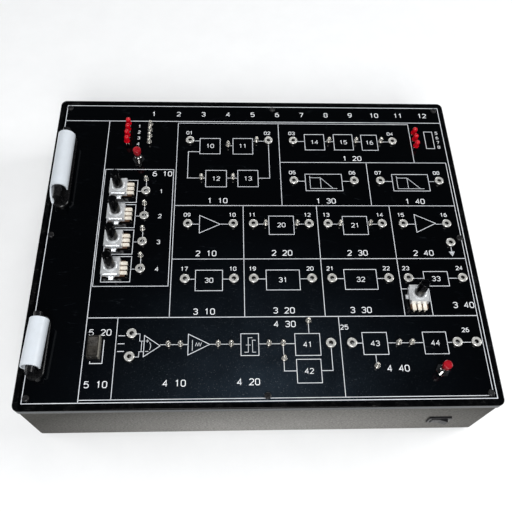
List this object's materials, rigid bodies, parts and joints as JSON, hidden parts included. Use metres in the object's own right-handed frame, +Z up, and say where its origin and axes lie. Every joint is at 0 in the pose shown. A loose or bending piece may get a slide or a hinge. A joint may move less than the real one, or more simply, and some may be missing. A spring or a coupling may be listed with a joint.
{
  "type": "delta modulation trainer",
  "caption": "Bench trainer for signal coding: a black instrument case under a glossy circuit panel with patch sockets, test pins, small potentiometers, push buttons and lamps.",
  "frame": {"origin": "on the bench, under the middle of the object's box", "axes": "+X to the right along the panel's long side, +Y to the back, +Z up out of the panel"},
  "size_m": [0.424, 0.3516, 0.1181],
  "materials": {
    "black_plastic": "black moulded plastic",
    "black_screw": "blackened steel, worn bright in the slots",
    "board": "green solder mask on glass epoxy",
    "brass": "plain brass",
    "brown_plastic": "brown-grey moulded plastic",
    "bush_metal": "plated thread",
    "capacitor": "dark blue film sleeve",
    "case_paint": "dark moulding with a sandy grain on the walls and a glossy black rim",
    "chip": "black epoxy package",
    "coil_tape": "yellow coil tape",
    "core_steel": "varnished laminations",
    "galvanised": "bright galvanised sheet with a faint spangle",
    "grip_plastic": "black moulded plastic",
    "knob_black": "glossy black moulding",
    "nickel": "nickel plate, slightly warm",
    "panel": "glossy black with pale printed lines",
    "red_cap": "red moulded cap",
    "red_lamp": "red tinted epoxy",
    "ribbon": "grey ribbon cable",
    "rubber": "black rubber",
    "sink": "plain extrusion",
    "sleeve_white": "white extruded plastic",
    "spring_steel": "drawn spring wire",
    "tin": "tinned metal",
    "wafer": "brown phenolic board",
    "zinc": "zinc plate"
  },
  "bodies": {
    "instrument": {"base_plate": "case_paint", "base_screws": "zinc", "button_bush_1": "bush_metal", "button_bush_2": "bush_metal", "button_nuts": "nickel", "button_spring_1": "spring_steel", "button_spring_2": "spring_steel", "case": "case_paint", "chips": "chip", "clock_lamps": "red_lamp", "filter_capacitors": "capacitor", "frame_screws": "zinc", "front_panel": "panel", "grip_back": "grip_plastic", "grip_front": "grip_plastic", "grip_screws": "zinc", "heat_sink": "sink", "inlet_pins": "brass", "inlet_screws": "zinc", "lamp_leads": "tin", "main_board": "board", "panel_screws": "black_screw", "patch_sockets": "nickel", "pot_cover_1": "galvanised", "pot_cover_2": "galvanised", "pot_cover_3": "galvanised", "pot_cover_4": "galvanised", "pot_cover_5": "galvanised", "pot_lugs": "tin", "pot_wafers": "wafer", "power_inlet": "black_plastic", "power_switch_housing": "black_plastic", "regulators": "chip", "ribbon_headers": "black_plastic", "rubber_feet": "rubber", "selector_housing": "brown_plastic", "socket_nuts": "nickel", "supply_board": "board", "supply_lamps": "red_lamp", "supply_ribbon": "ribbon", "supply_screws": "zinc", "supply_spacers": "nickel", "switch_tags": "brass", "test_pins": "nickel", "transformer_coil": "coil_tape", "transformer_core": "core_steel", "transformer_frame": "zinc"},
    "knob_1": {"pot_knob_1": "knob_black"},
    "knob_2": {"pot_knob_2": "knob_black"},
    "knob_3": {"pot_knob_3": "knob_black"},
    "knob_4": {"pot_knob_4": "knob_black"},
    "knob_5": {"pot_knob_5": "knob_black"},
    "button_1": {"button_cap_1": "red_cap", "button_stem_1": "black_plastic"},
    "button_2": {"button_cap_2": "red_cap", "button_stem_2": "black_plastic"},
    "selector": {"selector_rocker": "brown_plastic"},
    "power_rocker": {"power_switch_rocker": "black_plastic"},
    "back_sleeve": {"sleeve_back": "sleeve_white"},
    "front_sleeve": {"sleeve_front": "sleeve_white"}
  },
  "joints": [
    {"name": "knob_1_turn", "type": "hinge", "parent": "instrument", "child": "knob_1", "pos_m": [-0.1393, 0.053, 0.0966], "axis": [0, 0, 1], "range_deg": [-150, 150]},
    {"name": "knob_2_turn", "type": "hinge", "parent": "instrument", "child": "knob_2", "pos_m": [-0.1393, 0.0227, 0.0966], "axis": [0, 0, 1], "range_deg": [-150, 150]},
    {"name": "knob_3_turn", "type": "hinge", "parent": "instrument", "child": "knob_3", "pos_m": [-0.1393, -0.0076, 0.0966], "axis": [0, 0, 1], "range_deg": [-150, 150]},
    {"name": "knob_4_turn", "type": "hinge", "parent": "instrument", "child": "knob_4", "pos_m": [-0.1393, -0.0379, 0.0966], "axis": [0, 0, 1], "range_deg": [-150, 150]},
    {"name": "knob_5_turn", "type": "hinge", "parent": "instrument", "child": "knob_5", "pos_m": [0.149, -0.068, 0.0966], "axis": [0, 0, 1], "range_deg": [-150, 150]},
    {"name": "button_1_press", "type": "slide", "parent": "instrument", "child": "button_1", "axis": [0, 0, -1], "range_m": [0, 0.0025], "stiffness_N_per_m": 300, "springref_m": -0.002, "deforming": ["button_spring_1"]},
    {"name": "button_2_press", "type": "slide", "parent": "instrument", "child": "button_2", "axis": [0, 0, -1], "range_m": [0, 0.0025], "stiffness_N_per_m": 300, "springref_m": -0.002, "deforming": ["button_spring_2"]},
    {"name": "selector_rock", "type": "hinge", "parent": "instrument", "child": "selector", "pos_m": [-0.1475, -0.1165, 0.0918], "axis": [-1, 0, 0], "range_deg": [0, 14]},
    {"name": "power_rock", "type": "hinge", "parent": "instrument", "child": "power_rocker", "pos_m": [0.1665, -0.1706, 0.041], "axis": [0, 0, 1], "range_deg": [0, 18]},
    {"name": "back_sleeve_turn", "type": "hinge", "parent": "instrument", "child": "back_sleeve", "pos_m": [-0.1963, 0.0795, 0.1007], "axis": [0, 1, 0], "range_deg": [-5, 45]},
    {"name": "front_sleeve_turn", "type": "hinge", "parent": "instrument", "child": "front_sleeve", "pos_m": [-0.1963, -0.116, 0.1007], "axis": [0.0436, 0.999, 0], "range_deg": [-45, 45]}
  ]
}
